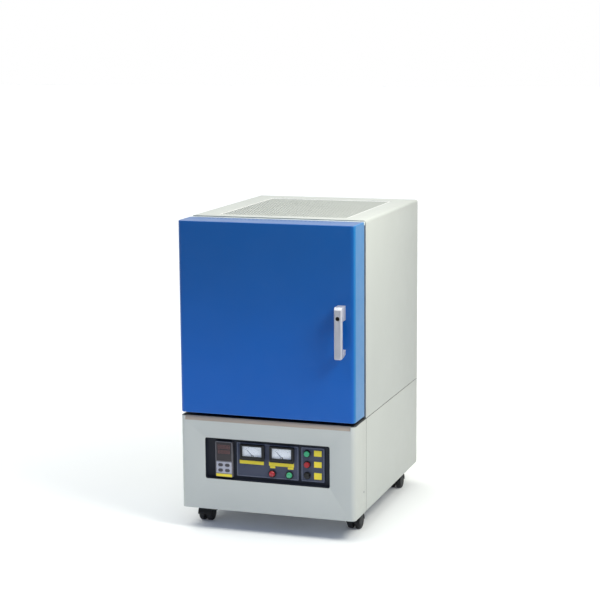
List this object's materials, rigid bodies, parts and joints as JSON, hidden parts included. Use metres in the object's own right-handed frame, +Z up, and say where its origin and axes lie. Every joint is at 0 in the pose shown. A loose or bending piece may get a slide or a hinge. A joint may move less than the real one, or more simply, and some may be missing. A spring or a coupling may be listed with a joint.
{
  "type": "muffle furnace",
  "caption": "Box muffle furnace on swivel casters: side-hung insulated door with handle lock, fibre-lined chamber, perforated top and a base with a recessed control panel.",
  "frame": {"origin": "on the floor, under the middle of the overall box", "axes": "+Z up, +X to the right of someone who faces the door, and the door faces -Y"},
  "size_m": [0.48, 0.6868, 0.8275],
  "materials": {
    "white_paint": "satin",
    "blue_paint": "satin",
    "zinc_plate": "satin",
    "fibre_board": "matte",
    "rope_seal": "matte",
    "element": "matte",
    "probe": "matte",
    "clamp": "satin",
    "handle_zinc": "satin",
    "lock_dark": "satin",
    "panel_dark": "satin",
    "panel_slate": "satin",
    "black_plastic": "matte",
    "grey_plastic": "matte",
    "key_plastic": "matte",
    "smoke_window": "gloss",
    "clear_window": "gloss",
    "dial_card": "matte",
    "red_lens": "gloss",
    "green_lens": "gloss",
    "red_plastic": "gloss",
    "green_plastic": "gloss",
    "steel_core": "matte",
    "black_steel": "satin",
    "wheel_rubber": "matte"
  },
  "bodies": {
    "cabinet": {"base_front_panel": "white_paint", "base_left_panel": "white_paint", "base_right_panel": "white_paint", "base_rear_panel": "white_paint", "body_wrap": "white_paint", "top_grille": "white_paint", "body_front_frame": "white_paint", "body_rear_panel": "white_paint", "base_floor": "zinc_plate", "inner_casing": "zinc_plate", "caster_plates": "zinc_plate", "body_hinge_leaves": "zinc_plate", "hinge_pins": "zinc_plate", "screws": "zinc_plate", "hearth_board": "fibre_board", "side_boards": "fibre_board", "rear_board": "fibre_board", "roof_board": "fibre_board", "hearth_plate": "fibre_board", "heating_elements": "element", "thermocouple": "probe", "element_clamps": "clamp", "power_module": "clamp", "control_tray": "panel_dark", "meter_plate": "panel_slate", "switch_plate": "panel_slate", "meter_cases": "black_plastic", "panel_bezels": "black_plastic", "fan_frame": "black_plastic", "cable_gland": "black_plastic", "controller_case": "grey_plastic", "controller_keypad": "key_plastic", "controller_window": "smoke_window", "meter_windows": "clear_window", "meter_dials": "dial_card", "red_lamp_lens": "red_lens", "green_lamp_lens": "green_lens", "transformer": "steel_core"},
    "door": {"door_shell": "blue_paint", "door_inner_pan": "blue_paint", "door_plug": "fibre_board", "door_gasket": "rope_seal", "door_hinge_leaves": "zinc_plate", "handle": "handle_zinc"},
    "lock": {"lock_plug": "lock_dark", "lock_cam": "zinc_plate"},
    "green_push": {"green_button": "green_plastic"},
    "red_push": {"red_button": "red_plastic"},
    "black_push": {"black_button": "black_plastic"},
    "left_needle": {"left_pointer": "black_plastic"},
    "right_needle": {"right_pointer": "black_plastic"},
    "fan": {"fan_rotor": "black_plastic"},
    "front_left_swivel": {"front_left_fork": "black_steel"},
    "front_left_roller": {"front_left_wheel": "wheel_rubber"},
    "front_right_swivel": {"front_right_fork": "black_steel"},
    "front_right_roller": {"front_right_wheel": "wheel_rubber"},
    "rear_left_swivel": {"rear_left_fork": "black_steel"},
    "rear_left_roller": {"rear_left_wheel": "wheel_rubber"},
    "rear_right_swivel": {"rear_right_fork": "black_steel"},
    "rear_right_roller": {"rear_right_wheel": "wheel_rubber"}
  },
  "joints": [
    {"name": "door_swing", "type": "hinge", "parent": "cabinet", "child": "door", "pos_m": [-0.2335, -0.2149, 0.5706], "axis": [0, 0, -1], "range_deg": [0, 115]},
    {"name": "lock_turn", "type": "hinge", "parent": "door", "child": "lock", "pos_m": [0.206, -0.3054, 0.5933], "axis": [0, -1, 0], "range_deg": [0, 90]},
    {"name": "green_press", "type": "slide", "parent": "cabinet", "child": "green_push", "axis": [0, 1, 0], "range_m": [0, 0.003], "stiffness_N_per_m": 400},
    {"name": "red_press", "type": "slide", "parent": "cabinet", "child": "red_push", "axis": [0, 1, 0], "range_m": [0, 0.003], "stiffness_N_per_m": 400},
    {"name": "black_press", "type": "slide", "parent": "cabinet", "child": "black_push", "axis": [0, 1, 0], "range_m": [0, 0.003], "stiffness_N_per_m": 400},
    {"name": "left_needle_swing", "type": "hinge", "parent": "cabinet", "child": "left_needle", "pos_m": [-0.0434, -0.2954, 0.209], "axis": [0, 1, 0], "range_deg": [0, 90]},
    {"name": "right_needle_swing", "type": "hinge", "parent": "cabinet", "child": "right_needle", "pos_m": [0.0386, -0.2954, 0.209], "axis": [0, 1, 0], "range_deg": [0, 90]},
    {"name": "fan_spin", "type": "hinge", "parent": "cabinet", "child": "fan", "pos_m": [-0.11, 0.3014, 0.188], "axis": [0, 1, 0], "continuous": true},
    {"name": "front_left_swivel_turn", "type": "hinge", "parent": "cabinet", "child": "front_left_swivel", "pos_m": [-0.202, -0.1974, 0.053], "axis": [0, 0, 1], "continuous": true},
    {"name": "front_left_wheel_roll", "type": "hinge", "parent": "front_left_swivel", "child": "front_left_roller", "pos_m": [-0.202, -0.2194, 0.021], "axis": [1, 0, 0], "continuous": true},
    {"name": "front_right_swivel_turn", "type": "hinge", "parent": "cabinet", "child": "front_right_swivel", "pos_m": [0.202, -0.1974, 0.053], "axis": [0, 0, 1], "continuous": true},
    {"name": "front_right_wheel_roll", "type": "hinge", "parent": "front_right_swivel", "child": "front_right_roller", "pos_m": [0.202, -0.1754, 0.021], "axis": [-1, 0, 0], "continuous": true},
    {"name": "rear_left_swivel_turn", "type": "hinge", "parent": "cabinet", "child": "rear_left_swivel", "pos_m": [-0.202, 0.2134, 0.053], "axis": [0, 0, 1], "continuous": true},
    {"name": "rear_left_wheel_roll", "type": "hinge", "parent": "rear_left_swivel", "child": "rear_left_roller", "pos_m": [-0.202, 0.2354, 0.021], "axis": [-1, 0, 0], "continuous": true},
    {"name": "rear_right_swivel_turn", "type": "hinge", "parent": "cabinet", "child": "rear_right_swivel", "pos_m": [0.202, 0.2134, 0.053], "axis": [0, 0, 1], "continuous": true},
    {"name": "rear_right_wheel_roll", "type": "hinge", "parent": "rear_right_swivel", "child": "rear_right_roller", "pos_m": [0.202, 0.2354, 0.021], "axis": [-1, 0, 0], "continuous": true}
  ]
}
